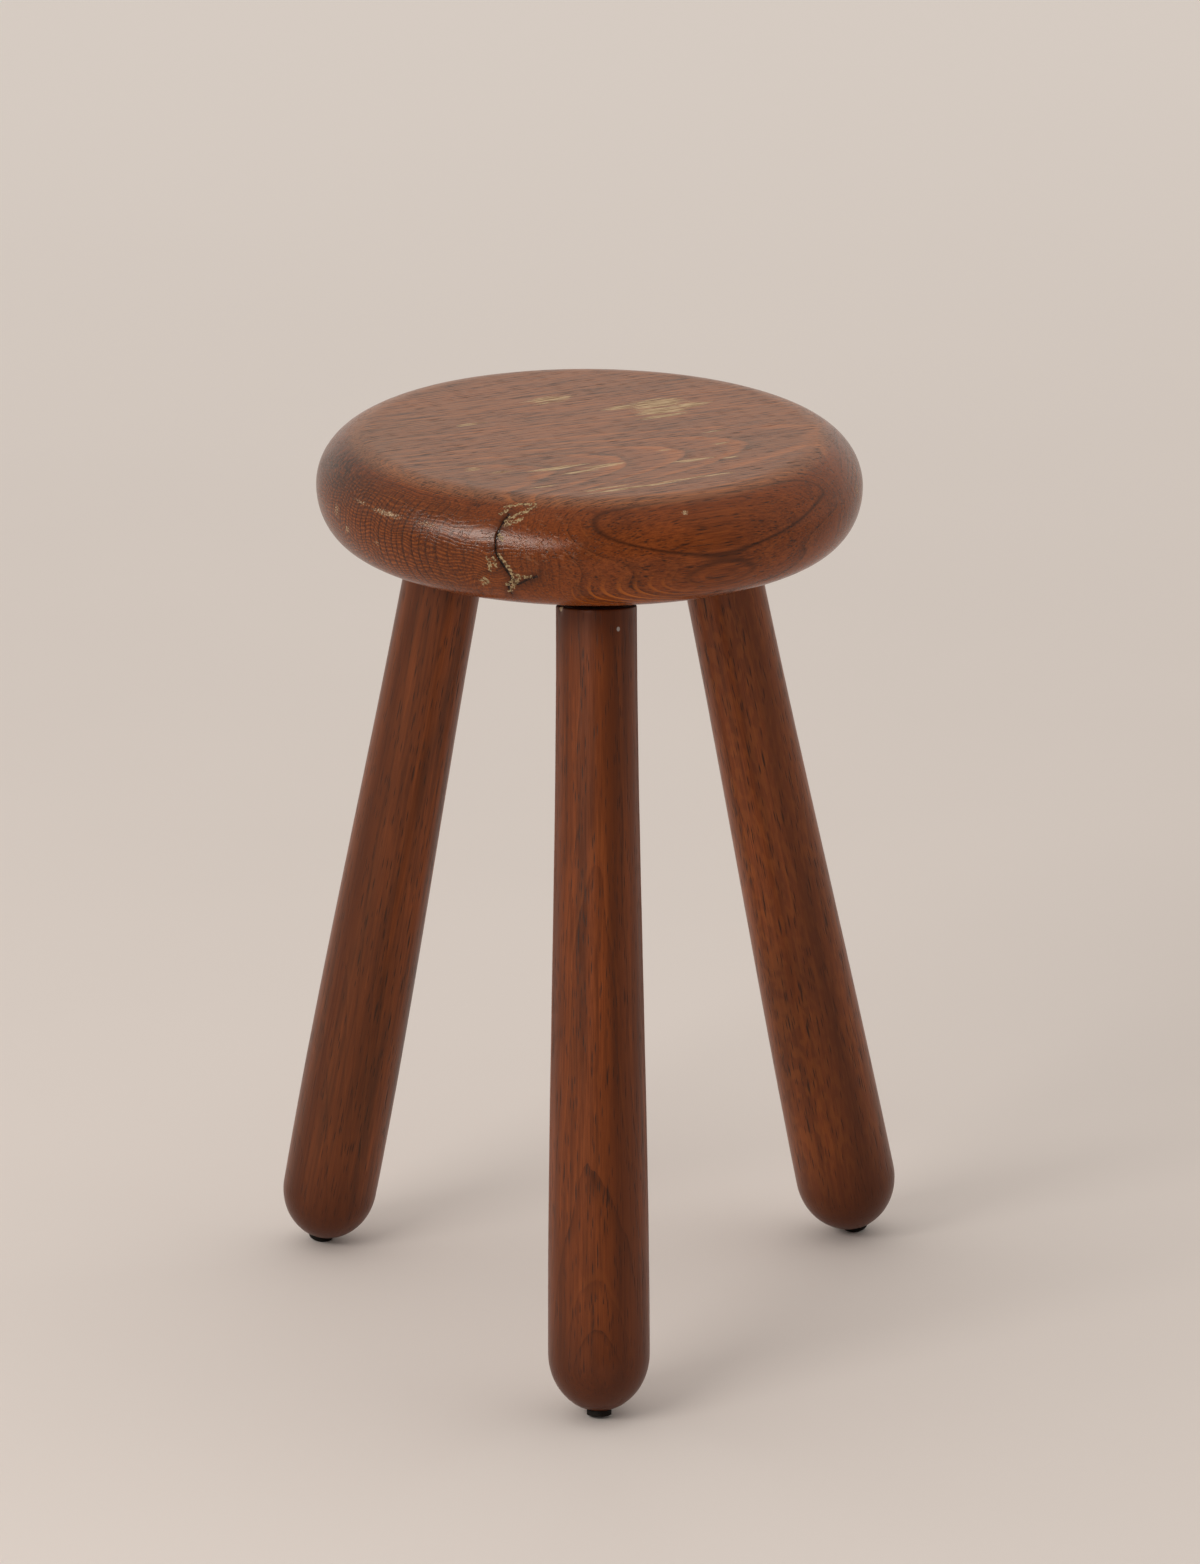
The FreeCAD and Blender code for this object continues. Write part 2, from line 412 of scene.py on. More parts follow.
def seat_profile():
    """Half profile of the seat, from the top's middle to the underside's."""
    upper = (SEAT_RADIUS - EDGE_UPPER_REACH, EDGE_MIDDLE)
    lower = (SEAT_RADIUS - EDGE_LOWER_REACH, EDGE_MIDDLE)
    lower_rise = EDGE_MIDDLE - SEAT_UNDER
    top = [(r, SEAT_TOP) for r in np.linspace(0.0, upper[0], SEAT_TOP_POINTS)[:-1]]
    edge = ellipse_arc(upper, EDGE_UPPER_REACH, EDGE_UPPER_DROP, 90, 0, SEAT_UPPER_POINTS)
    edge += ellipse_arc(lower, EDGE_LOWER_REACH, lower_rise, 0, -90, SEAT_LOWER_POINTS)[1:]
    under = [(r, SEAT_UNDER) for r in np.linspace(lower[0], 0.0, SEAT_UNDER_POINTS)[1:]]
    return top + edge + under


def on_edge(azimuth, height):
    """Point of the seat's rounded edge at an azimuth and a height."""
    reach = EDGE_UPPER_REACH if height > EDGE_MIDDLE else EDGE_LOWER_REACH
    rise = EDGE_UPPER_DROP if height > EDGE_MIDDLE else EDGE_MIDDLE - SEAT_UNDER
    share = (height - EDGE_MIDDLE) / rise
    radius = SEAT_RADIUS - reach * (1.0 - math.sqrt(1.0 - share * share))
    turn = math.radians(azimuth)
    return np.array((radius * math.sin(turn), -radius * math.cos(turn), height))


def nearest_path(points, paths):
    """Distance of each point from the nearest of some paths drawn on the edge."""
    return np.min([path_distance(points, [on_edge(*place) for place in path]) for path in paths], axis=0)


def cut_mortises(piece):
    """Blind holes for the tenons, cut out of the seat's mesh."""
    radius = TENON_DIA / 2 + GLUE_LINE
    angles = round_angles(MORTISE_SIDES)
    depth = SEAT_TOP - SEAT_UNDER
    profile = [(0.0, MORTISE_DEPTH), (radius, MORTISE_DEPTH), (radius, -depth), (0.0, -depth)]
    cutters = []
    for name, (turn, splay, offset, _) in LEGS.items():
        points, faces = lathe(profile, angles)
        cutter = new_piece("cutter_" + name, to_frame(carry(points, leg_place(turn, splay, offset))), faces)
        cut = piece.modifiers.new(cutter.name, "BOOLEAN")
        cut.operation = "DIFFERENCE"
        cut.solver = "EXACT"
        cut.object = cutter
        cutters.append(cutter)
    whole = piece.evaluated_get(bpy.context.evaluated_depsgraph_get())
    piece.data = bpy.data.meshes.new_from_object(whole)
    piece.modifiers.clear()
    for cutter in cutters:
        bpy.data.objects.remove(cutter)


def make_seat():
    """The seat's wood, with its crack, ding and mortises."""
    low, high = CRACK_WINDOW
    fine = np.arange(low, high, CRACK_SIDE)
    coarse = np.linspace(high, low + 360.0, SEAT_SIDES, endpoint=False)
    angles = np.radians(np.concatenate([fine, coarse]))
    profile = seat_profile()
    points, faces = lathe(profile, angles)
    normals = turned_normals(profile, angles)
    ragged = rough(points, CRACK_RAGGED)
    away = nearest_path(points, CRACK)
    crack = np.exp(-(away / (CRACK_WIDTH * (1.0 + 0.7 * ragged))) ** 2)
    filled = nearest_path(points, FILLED)
    ding = np.exp(-(np.linalg.norm(points - on_edge(*DING), axis=1) / DING_WIDTH) ** 2)
    turning = uneven(points, *SEAT_UNEVEN)
    depth = SKIN + turning + CRACK_DEPTH * crack * (0.8 + 0.4 * ragged) + DING_DEPTH * ding
    points = points - normals * depth[:, None]
    points[:, 2] = np.minimum(points[:, 2], SEAT_TOP)
    piece = new_piece("seat_wood", to_frame(points), faces)
    set_mask(piece, "crack", crack)
    set_mask(piece, "stain", np.exp(-(away / CRACK_STAIN) ** 2))
    set_mask(piece, "filled", np.exp(-(filled / FILLED_WIDTH) ** 2))
    cut_mortises(piece)
    smooth(piece)
    return piece


# Legs

def leg_profile(splay, belly_dia):
    """Half profile of a leg about its axis, z = 0 where the axis meets the seat's underside."""
    lean = math.radians(splay)
    face_height = GLIDE_DIA / 2 * math.sin(lean) - GLIDE_WEAR
    to_flat = (SEAT_UNDER - face_height) / math.cos(lean) - GLIDE_THICK
    belly = belly_dia / 2
    flat = GLIDE_SEAT_DIA / 2
    rise = belly * DOME_STRETCH
    pole_angle = math.degrees(math.acos(flat / belly))
    belly_level = rise * math.sin(math.radians(pole_angle)) - to_flat
    shoulder = SHOULDER_DIA / 2
    tenon = TENON_DIA / 2
    pilot = PILOT_DIA / 2
    shaft_top = -SHOULDER_GAP - SHOULDER_EASE
    shaft = shaft_top - belly_level
    stations = (0.0, 0.25, 0.5, 1.0)
    radii = (shoulder, UPPER_DIA / 2, MIDDLE_DIA / 2, belly)
    taper = np.polynomial.Polynomial.fit(stations, radii, 3)
    ease = SHOULDER_EASE
    profile = [(0.0, MORTISE_DEPTH), (tenon - TENON_BEVEL, MORTISE_DEPTH)]
    profile += [(tenon, z) for z in np.linspace(MORTISE_DEPTH - TENON_BEVEL, -SHOULDER_GAP, TENON_POINTS)]
    profile += [(r, -SHOULDER_GAP) for r in np.linspace(tenon, shoulder - ease, SHOULDER_POINTS)[1:-1]]
    profile += ellipse_arc((shoulder - ease, shaft_top), ease, ease, 90, 0, EASE_POINTS)
    profile += [(taper(t), shaft_top - shaft * t) for t in np.linspace(0.0, 1.0, SHAFT_POINTS)[1:-1]]
    profile += ellipse_arc((0.0, belly_level), belly, rise, 0, -pole_angle, DOME_POINTS)
    profile += [(pilot, -to_flat), (pilot, PILOT_DEPTH - to_flat)]
    profile += [(0.0, PILOT_DEPTH + PILOT_POINT - to_flat)]
    return profile


def leg_place(turn, splay, radius):
    """Matrix from a leg's own axis to its place about the seat, in millimetres."""
    spin = Matrix.Rotation(math.radians(turn), 4, "Z")
    stand = Matrix.Translation((0.0, -radius, SEAT_UNDER))
    tilt = Matrix.Rotation(-math.radians(splay), 4, "X")
    return spin @ stand @ tilt


def carry(points, place):
    """Points moved by a matrix."""
    grid = np.array(place)
    return points @ grid[:3, :3].T + grid[:3, 3]


def on_leg(azimuth, level, radius):
    """Point about a leg's own axis."""
    turn = math.radians(azimuth)
    return np.array((radius * math.sin(turn), -radius * math.cos(turn), level))


def make_leg(name, turn, splay, radius, belly_dia):
    """A leg's wood with its tenon; the front one has a chip in its shoulder."""
    angles = round_angles(LEG_SIDES)
    profile = leg_profile(splay, belly_dia)
    points, faces = lathe(profile, angles)
    outside = np.hypot(points[:, 0], points[:, 1]) > TENON_DIA / 2 + SKIN
    inward = points * (-1.0, -1.0, 0.0)
    inward /= np.maximum(np.linalg.norm(inward, axis=1), 1e-6)[:, None]
    turning = uneven(points, *LEG_UNEVEN, LEG_WOOD[name]["seed"])
    depth = np.where(outside, SKIN + turning, 0.0)
    chip = np.zeros(len(points))
    if name == "front":
        away = np.linalg.norm(points - on_leg(*CHIP, SHOULDER_DIA / 2), axis=1)
        chip = np.exp(-(away / CHIP_WIDTH) ** 2) * outside
    points = points + inward * (depth + CHIP_DEPTH * chip)[:, None]
    piece = new_piece("leg_%s_wood" % name, to_frame(carry(points, leg_place(turn, splay, radius))), faces)
    set_mask(piece, "chip", chip)
    smooth(piece)
    return piece


# Materials

class Graph:
    """Short calls that add nodes to a new material or world and return their outputs."""

    def __init__(self, name, kind="materials", shader="Principled BSDF"):
        self.owner = getattr(bpy.data, kind).new(name)
        self.owner.use_nodes = True
        self.tree = self.owner.node_tree
        self.shader = self.tree.nodes[shader]

    def feed(self, socket, value):
        if isinstance(value, bpy.types.NodeSocket):
            self.tree.links.new(value, socket)
        else:
            socket.default_value = value

    def node(self, kind, inputs, **settings):
        made = self.tree.nodes.new("ShaderNode" + kind)
        for key, value in settings.items():
            setattr(made, key, value)
        for key, value in inputs.items():
            self.feed(made.inputs[key], value)
        return made

    def math(self, operation, first, second=0.0):
        return self.node("Math", {0: first, 1: second}, operation=operation).outputs[0]

    def vector(self, operation, first, second=(0.0, 0.0, 0.0)):
        made = self.node("VectorMath", {0: first, 1: second}, operation=operation)
        return made.outputs["Value" if operation in ("LENGTH", "DOT_PRODUCT") else "Vector"]

    def scale(self, vector, factor):
        return self.vector("MULTIPLY", vector, (factor, factor, factor))

    def combine(self, x, y, z):
        return self.node("CombineXYZ", {0: x, 1: y, 2: z}).outputs[0]

    def split(self, vector):
        return self.node("SeparateXYZ", {0: vector}).outputs[:3]

    def object_place(self):
        return self.node("TexCoord", {}).outputs["Object"]

    def mask(self, name):
        return self.node("Attribute", {}, attribute_name=name).outputs["Fac"]

    def noise(self, vector, detail=2.0, roughness=0.5):
        inputs = {"Vector": vector, "Scale": 1.0, "Detail": detail, "Roughness": roughness}
        return self.node("TexNoise", inputs).outputs["Fac"]

    def noise_vector(self, vector, detail=2.0):
        """Noise on three axes, from -0.5 to 0.5."""
        made = self.node("TexNoise", {"Vector": vector, "Scale": 1.0, "Detail": detail})
        return self.vector("SUBTRACT", made.outputs["Color"], (0.5, 0.5, 0.5))

    def cells(self, vector):
        """Distance from the nearest random point, and that point's own random number."""
        made = self.node("TexVoronoi", {"Vector": vector, "Scale": 1.0})
        return made.outputs["Distance"], self.split(made.outputs["Color"])[0]

    def chance(self, value):
        """A random number from 0 to 1 for each value."""
        return self.node("TexWhiteNoise", {"W": value}, noise_dimensions="1D").outputs["Value"]

    def step(self, value, low, high, to_low=0.0, to_high=1.0):
        inputs = {"Value": value, "From Min": low, "From Max": high, "To Min": to_low, "To Max": to_high}
        return self.node("MapRange", inputs, interpolation_type="SMOOTHSTEP").outputs[0]

    def mix(self, factor, first, second, blend="MIX"):
        made = self.node("Mix", {0: factor, 6: first, 7: second}, data_type="RGBA", blend_type=blend)
        return made.outputs[2]

    def times(self, first, *others):
        for other in others:
            first = self.math("MULTIPLY", first, other)
        return first

    def plus(self, first, *others):
        for other in others:
            first = self.math("ADD", first, other)
        return first

    def minus(self, first, second):
        return self.math("SUBTRACT", first, second)

    def over(self, first, second):
        return self.math("DIVIDE", first, second)

    def blend(self, first, second, share):
        """From the first value to the second, by a share from 0 to 1."""
        return self.plus(first, self.times(share, self.minus(second, first)))

    def spot(self, point, centre, reach):
        """Distance from a centre, in units of a reach along each axis."""
        away = self.vector("SUBTRACT", point, tuple(centre))
        return self.vector("LENGTH", self.vector("DIVIDE", away, tuple(reach)))

    def patch(self, point, centre, reach):
        """1 at a centre, falling smoothly like a bell curve."""
        distance = self.spot(point, centre, reach)
        return self.math("EXPONENT", self.times(distance, distance, -1.0))

    def relief(self, height):
        """Normals of a surface with this fine relief."""
        inputs = {"Strength": RELIEF_STRENGTH, "Distance": RELIEF_DEPTH, "Height": height}
        return self.node("Bump", inputs).outputs[0]

    def finish(self, **inputs):
        """The material or world, with these inputs of its shader set."""
        for key, value in inputs.items():
            self.feed(self.shader.inputs[key.replace("_", " ")], value)
        return self.owner


class Oak:
    """Solid oak as a texture in space: growth rings, pores, fibres and rays.

    point is in millimetres on the wood's own axes, along is the index of the axis that the grain follows.
    """

    def __init__(self, graph, point, along, ring):
        self.graph = graph
        self.along = along
        self.ring = ring
        self.point = point
        self.swing = graph.noise_vector(self.stretch(230.0, 60.0))

    def stretch(self, length, width):
        """The point measured in grain-long and narrow units."""
        scale = [1.0 / width] * 3
        scale[self.along] = 1.0 / length
        return self.graph.vector("MULTIPLY", self.point, tuple(scale))

    def ray_lines(self, sideways, length):
        """Fine lines that cross the rings, from the distance along the rings and along the grain."""
        graph = self.graph
        fan = graph.combine(sideways, graph.over(self.level, 7.0), graph.over(length, 9.0))
        return graph.step(graph.noise(fan, 1.0), 0.45, 0.6)

    def place_rings(self, level):
        """Fill in the figure, but for the rays, from the distance across the rings."""
        graph = self.graph
        self.level = level
        slow = graph.noise(graph.combine(graph.over(level, 11.0), 0.0, 0.0), 1.0)
        wander = graph.noise(self.stretch(40.0, 9.0), 2.0)
        year = graph.plus(graph.over(level, self.ring), graph.times(slow, 2.4))
        year = graph.plus(year, graph.times(wander, 0.3))
        self.age = graph.math("FRACT", year)
        self.vigour = graph.chance(graph.math("FLOOR", year))
        self.fibres = graph.noise(self.stretch(30.0, 0.5), 3.0, 0.65)
        self.bands = graph.noise(self.stretch(170.0, 6.0), 2.0)
        density = graph.step(self.age, 0.6, 0.05, 0.25, 0.6)
        density = graph.plus(density, graph.step(self.bands, 0.5, 0.7, 0.0, 0.3))
        fine, chance = graph.cells(self.stretch(10.0, 0.8))
        self.pores = graph.times(graph.step(fine, 0.45, 0.15), graph.math("LESS_THAN", chance, density))
        coarse, chance = graph.cells(self.stretch(20.0, 1.7))
        streak = graph.times(graph.step(coarse, 0.38, 0.12),
                             graph.math("LESS_THAN", chance, graph.times(density, 0.35)))
        self.pores = graph.math("MAXIMUM", self.pores, streak)

    def colour(self, rays, rings, late, pores, bands):
        """Stained wood from the figure; each share says how strongly that part of it shows."""
        graph = self.graph
        strong = graph.step(self.vigour, 0.1, 1.0, 0.25, 1.0)
        broken = graph.step(graph.noise(self.stretch(15.0, 2.0), 2.0), 0.35, 0.65)
        colour = graph.mix(graph.step(self.fibres, 0.3, 0.7), MIDDLE, LIGHT)
        colour = graph.mix(graph.times(graph.step(self.bands, 0.48, 0.72), bands), colour, DARK)
        fine_bands = graph.step(graph.noise(self.stretch(75.0, 2.0), 2.0), 0.5, 0.68)
        colour = graph.mix(graph.times(fine_bands, bands, 0.7), colour, DARK)
        pale = graph.times(graph.step(self.age, 0.78, 0.93), graph.step(self.age, 1.0, 0.96))
        colour = graph.mix(graph.times(pale, strong, late), colour, LATE)
        early = graph.times(graph.step(self.age, 0.3, 0.03), strong)
        colour = graph.mix(graph.times(early, rings, 0.7), colour, DARK)
        line = graph.times(graph.step(self.age, 0.12, 0.02), broken, strong)
        colour = graph.mix(graph.times(line, rings), colour, PORE)
        colour = graph.mix(graph.times(self.rays, rays), colour, RAY)
        colour = graph.mix(graph.times(self.pores, pores), colour, PORE)
        cloud = graph.noise(self.stretch(90.0, 35.0), 3.0)
        return graph.mix(1.0, colour, graph.step(cloud, 0.25, 0.75, 0.8, 1.14), "MULTIPLY")


def grain_place(graph, matrix):
    """Millimetre coordinates on the wood's own axes, from a matrix that carries those axes to the frame."""
    place, turn, _ = matrix.decompose()
    inputs = {"Vector": graph.object_place(), "Location": place, "Rotation": turn.to_euler(),
              "Scale": (MM, MM, MM)}
    return graph.node("Mapping", inputs, vector_type="TEXTURE").outputs[0]


def polar(graph, across, up, centre):
    """Distance from a centre, and the angle about it."""
    across = graph.minus(across, centre[0])
    up = graph.minus(up, centre[1])
    square = graph.plus(graph.times(across, across), graph.times(up, up))
    return graph.math("SQRT", square), graph.math("ARCTAN2", across, up)


def flat_rings(graph, length, across, up):
    """Level of the rings away from the knot."""
    drop = graph.minus(up, EDGE_MIDDLE)
    fold = graph.math("SQRT", graph.plus(graph.times(drop, drop), FOLD_ROUND ** 2))
    fold = graph.plus(graph.times(drop, (1.0 - FOLD_SLOPE) / 2), graph.times(fold, (1.0 + FOLD_SLOPE) / 2))
    off_crown = graph.minus(across, CROWN)
    crown = graph.times(off_crown, off_crown, 0.5 / CROWN_RADIUS)
    past = graph.math("MAXIMUM", graph.minus(SHED, across), 0.0)
    shed = graph.times(past, past, 0.5 / SHED_RADIUS)
    off_middle = graph.minus(length, BOW_MIDDLE)
    bow = graph.times(off_middle, off_middle, RING_BOW)
    at_front = graph.plus(fold, bow)
    inside = graph.plus(drop, graph.times(length, TOP_LEAN))
    level = graph.blend(at_front, inside, graph.step(across, *FRONT_RANGE))
    return graph.plus(level, EDGE_MIDDLE, crown, shed)


def knot_rings(graph, length, across, up):
    """Level of the rings round the knot."""
    beyond = graph.math("MAXIMUM", graph.minus(length, KNOT[0]), 0.0)
    flat = graph.times(up, KNOT_FLAT)
    radius, _ = polar(graph, across, flat, (KNOT[1], KNOT[2] * KNOT_FLAT))
    away = graph.math("SQRT", graph.plus(graph.times(radius, radius), graph.times(beyond, beyond)))
    growth = graph.times(graph.plus(graph.times(away, KNOT_GROWTH), KNOT_SLOPE), away)
    return graph.plus(growth, KNOT_LEVEL)


def end_rays(oak, up):
    """Close, nearly level lines across the rings round the knot, broken into dashes."""
    graph = oak.graph
    sway = graph.noise(graph.scale(oak.point, 0.06), 1.0)
    count = graph.plus(graph.over(up, END_RAY), graph.times(sway, 6.0))
    wave = graph.math("SINE", graph.times(count, 2 * math.pi))
    dash = graph.noise(graph.combine(count, graph.over(oak.level, 1.4), 0.0), 1.0)
    return graph.times(graph.step(wave, -0.4, 0.4), graph.step(dash, 0.35, 0.55, 0.25, 1.0))


def seat_rings(oak):
    """Rings of the seat: the flat ones, blended into those round the knot."""
    graph = oak.graph
    bent = graph.vector("ADD", oak.point, graph.vector("MULTIPLY", oak.swing, SEAT_SWING))
    length, across, up = graph.split(bent)
    level = flat_rings(graph, length, across, up)
    eye = graph.patch(oak.point, LOWER_EYE, LOWER_EYE_REACH)
    level = graph.plus(level, graph.times(eye, LOWER_EYE_LIFT))
    about_knot = knot_rings(graph, length, across, up)
    near = graph.patch(oak.point, KNOT, (KNOT_REACH, KNOT_REACH, SEAT_TOP))
    hold = graph.math("MAXIMUM", near, graph.step(length, END_START, END_FULL))
    hold = graph.times(hold, graph.step(up, SEAT_TOP, SEAT_TOP - END_FADE))
    oak.place_rings(graph.blend(level, about_knot, hold))
    flat_rays = oak.ray_lines(graph.times(across, 0.8), length)
    oak.rays = graph.blend(flat_rays, end_rays(oak, up), hold)


def end_grain(graph, direction):
    """1 where the surface cuts across the grain, 0 where it runs along it."""
    normal = graph.node("NewGeometry", {}).outputs["Normal"]
    facing = graph.vector("DOT_PRODUCT", normal, direction)
    return graph.step(graph.math("ABSOLUTE", facing), 0.45, 0.85)


def seat_point(matrix, place):
    """A place about the seat's axis, on the axes of its wood."""
    return tuple(matrix.inverted() @ Vector(place))


def worn_mask(oak, turn):
    """How far the varnish has gone: in streaks along the grain on the top, in specks on the edge."""
    graph = oak.graph

    def wear(marks, ragged):
        worn = 0.0
        for place, reach, strength in marks:
            away = graph.spot(oak.point, seat_point(turn, place), reach)
            worn = graph.math("MAXIMUM", worn, graph.step(away, 1.7, 0.0, 0.0, strength))
        level = graph.plus(worn, graph.times(graph.minus(ragged, 0.5), 2.6))
        return graph.times(graph.step(level, 0.5, 0.7), graph.step(worn, 0.02, 0.25))

    on_top = [((x, y, SEAT_TOP), (long, wide, WORN_DEPTH), strength)
              for x, y, long, wide, strength in WORN_TOP]
    beside = [(on_edge(azimuth, height), (rim, rim, rise), strength)
              for azimuth, height, rim, rise, strength in WORN_EDGE]
    streaks = graph.noise(oak.stretch(12.0, 0.7), 4.0, 0.8)
    specks = graph.noise(graph.scale(oak.point, 1.5), 3.0, 0.7)
    return graph.math("MAXIMUM", wear(on_top, streaks), wear(beside, specks))


def wavy_glints(graph, point):
    """Short pale dashes where the wavy fibres beside the knot catch the light."""
    length, across, up = graph.split(point)
    slope = math.radians(WAVY_SLOPE)
    run = graph.plus(graph.times(length, math.cos(slope)), graph.times(up, -math.sin(slope)))
    rise = graph.plus(graph.times(length, math.sin(slope)), graph.times(up, math.cos(slope)))
    sway = graph.noise(graph.scale(point, 0.2), 1.0)
    rise = graph.plus(graph.over(rise, 1.1), graph.times(sway, 4.0))
    place = graph.combine(graph.over(run, 5.0), rise, graph.over(across, 4.0))
    dash, chance = graph.cells(place)
    dash = graph.times(graph.step(dash, 0.5, 0.2), graph.math("LESS_THAN", chance, 0.55))
    return graph.times(dash, graph.patch(point, WAVY, WAVY_REACH))


def rim_lines(oak, turn, colour):
    """Close dark and salmon lines that follow the rim at the upper left."""
    graph = oak.graph
    length, across, up = graph.split(oak.point)
    radius, _ = polar(graph, length, across, (0.0, 0.0))
    inward = graph.over(graph.minus(up, radius), RIM_LINE)
    sway = graph.noise(graph.scale(oak.point, 0.05), 2.0)
    close = graph.noise(graph.combine(graph.plus(inward, graph.times(sway, 8.0)), 0.0, 0.0), 1.0)
    rim = graph.patch(oak.point, seat_point(turn, on_edge(*RIM_LINES)), RIM_LINES_REACH)
    rim = graph.times(rim, graph.step(oak.fibres, 0.3, 0.55, 0.5, 1.0))
    colour = graph.mix(graph.times(rim, graph.step(close, 0.5, 0.6, 0.0, 0.8)), colour, PORE)
    return graph.mix(graph.times(rim, graph.step(close, 0.45, 0.35, 0.0, 0.5)), colour, SALMON)


def seat_figure(oak, top, end, near_oval):
    """Stained wood of the seat, with close dark lines where the grain is cut across."""
    graph = oak.graph
    length = graph.split(oak.point)[0]
    rays = graph.step(end, 0.0, 1.0, 0.08, 0.5)
    rings = graph.times(graph.step(end, 0.0, 1.0, 0.7, 0.6), graph.step(near_oval, 0.3, 1.0, 1.0, 0.65))
    late = graph.step(top, 0.0, 1.0, 0.22, 0.5)
    pores = graph.step(top, 0.0, 1.0, 0.85, 0.95)
    colour = oak.colour(rays, rings, late, pores, SEAT_BANDS)
    between_rays = graph.minus(1.0, oak.rays)
    gaps = graph.times(between_rays, end, graph.step(length, -40.0, 40.0, 0.7, 0.4))
    colour = graph.mix(gaps, colour, DARK)
    from_knot = graph.spot(oak.point, KNOT, (1.0, 1.0, 1.0))
    lines = graph.times(graph.step(oak.age, 0.34, 0.14), graph.step(from_knot, 20.0, 50.0, 0.25, 0.65))
    return graph.mix(graph.times(lines, end, graph.step(top, 0.6, 0.0)), colour, PORE)


def seat_streaks(oak, top, colour):
    """Streaks along the grain and salmon arches on the top; also returns the dark streaks."""
    graph = oak.graph
    streaks = graph.noise(oak.stretch(24.0, 0.8), 3.0, 0.65)
    dark = graph.step(streaks, 0.54, 0.62)
    colour = graph.mix(graph.times(dark, graph.step(top, 0.0, 1.0, 0.4, 0.8)), colour, PORE)
    pale = graph.step(streaks, 0.45, 0.37)
    colour = graph.mix(graph.times(pale, graph.step(top, 0.0, 1.0, 0.3, 0.55)), colour, LATE)
    arches = graph.times(
        graph.step(oak.age, 0.62, 0.82), graph.step(oak.age, 1.0, 0.9),
        graph.step(oak.vigour, 0.2, 0.8, 0.08, 0.5), graph.step(streaks, 0.42, 0.58, 1.0, 0.25), top)
    return graph.mix(arches, colour, SALMON), dark


def edge_marks(oak, turn, top, near_oval, colour):
    """The darkest ring line round the oval, close salmon arcs low in front, and a dark patch on the left."""
    graph = oak.graph
    off_ring = graph.math("ABSOLUTE", graph.minus(oak.level, STRONG_RING))
    line = graph.times(graph.step(off_ring, STRONG_RING_WIDTH, 0.0), graph.step(top, 1.0, 0.5), near_oval,
                       graph.step(oak.fibres, 0.3, 0.6, 0.5, 0.95))
    colour = graph.mix(line, colour, PORE)
    count = graph.over(oak.level, CRESCENT_RING)
    age = graph.math("FRACT", count)
    strong = graph.step(graph.chance(graph.math("FLOOR", count)), 0.1, 0.6, 0.15, 0.8)
    near = graph.patch(oak.point, CRESCENTS, CRESCENTS_REACH)
    arcs = graph.times(graph.step(age, 0.6, 0.8), graph.step(age, 1.0, 0.93), strong, near)
    colour = graph.mix(arcs, colour, SALMON)
    grime = graph.patch(oak.point, seat_point(turn, on_edge(*GRIME)), GRIME_REACH)
    broken = graph.step(graph.noise(oak.stretch(6.0, 2.0), 3.0), 0.35, 0.65, 0.3, 1.0)
    return graph.mix(graph.times(grime, broken), colour, PORE)


def seat_stain(oak, turn, top, end):
    """Colour of the seat's wood before wear, with the top faded and lightened by painted sheen between its
    pores and dark streaks.
    """
    graph = oak.graph
    near_oval = graph.patch(oak.point, OVAL, OVAL_REACH)
    colour = seat_figure(oak, top, end, near_oval)
    colour = rim_lines(oak, turn, colour)
    colour, dark_streaks = seat_streaks(oak, top, colour)
    colour = edge_marks(oak, turn, top, near_oval, colour)
    dark = graph.math("MAXIMUM", oak.pores, dark_streaks)
    # painted sheen: the top is lightened between pores and dark streaks, partly faded varnish and partly
    # painted reflection
    return graph.mix(graph.times(top, graph.step(dark, 0.0, 1.0, 0.25, 0.03)), colour, FADED_AND_SHEEN)


def fill_crack(oak, colour):
    """The black crack and the pale filler in and beside it; also returns the filler's place."""
    graph = oak.graph
    flaky = graph.noise(graph.scale(oak.point, 0.9), 3.0, 0.7)
    crack = graph.times(graph.step(graph.mask("crack"), 0.25, 0.7), graph.step(flaky, 0.3, 0.5, 0.3, 1.0))
    colour = graph.mix(crack, colour, CRACK_BLACK)
    filled = graph.mask("filled")
    filler = graph.plus(filled, graph.times(graph.minus(flaky, 0.5), 2.4))
    filler = graph.times(graph.step(filler, 0.72, 0.95), graph.step(filled, 0.15, 0.5))
    crumbs = graph.mix(graph.step(flaky, 0.45, 0.6), FILLER_DARK, FILLER)
    return graph.mix(filler, colour, crumbs), filler


